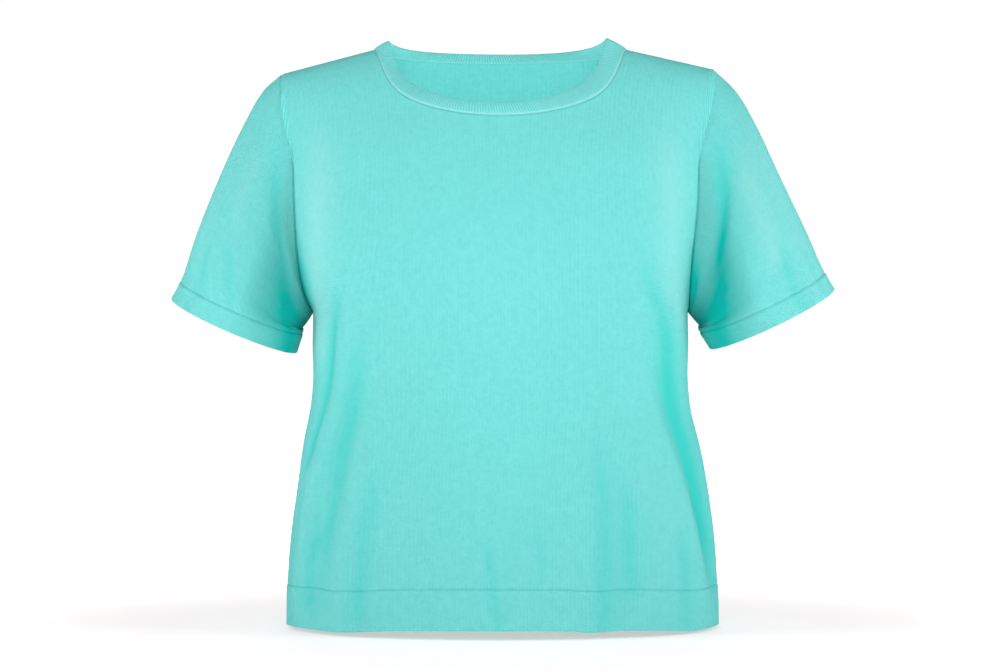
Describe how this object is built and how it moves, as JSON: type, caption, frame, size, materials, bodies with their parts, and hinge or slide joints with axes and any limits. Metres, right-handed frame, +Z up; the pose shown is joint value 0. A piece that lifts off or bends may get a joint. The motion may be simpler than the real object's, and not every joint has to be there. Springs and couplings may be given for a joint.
{
  "type": "short-sleeved sweater",
  "caption": "Hollow short-sleeved fine-knit sweater in its worn shape, with a ribbed round neckband, folded cuffs and a folded hem, open at neck, cuffs and hem.",
  "frame": {"origin": "midway between the two points where the shoulder seams meet the neckband, inside the neck, where the wearer's neck and shoulders hold the sweater", "axes": "+Z up, +X towards the wearer's left, -Y forwards"},
  "size_m": [0.6768, 0.2841, 0.5988],
  "materials": {
    "knit": "fine single-layer jersey in mint turquoise, matt with a faint sheen",
    "ribbed_band": "one-by-one rib folded double, mint turquoise",
    "folded_edges": "plain jersey folded double, mint turquoise"
  },
  "bodies": {
    "root": {"front": "knit", "back": "knit", "sleeve_left": "knit", "sleeve_right": "knit", "neckband": "ribbed_band", "hem_front": "folded_edges", "hem_back": "folded_edges", "cuff_left": "folded_edges", "cuff_right": "folded_edges"}
  },
  "joints": []
}
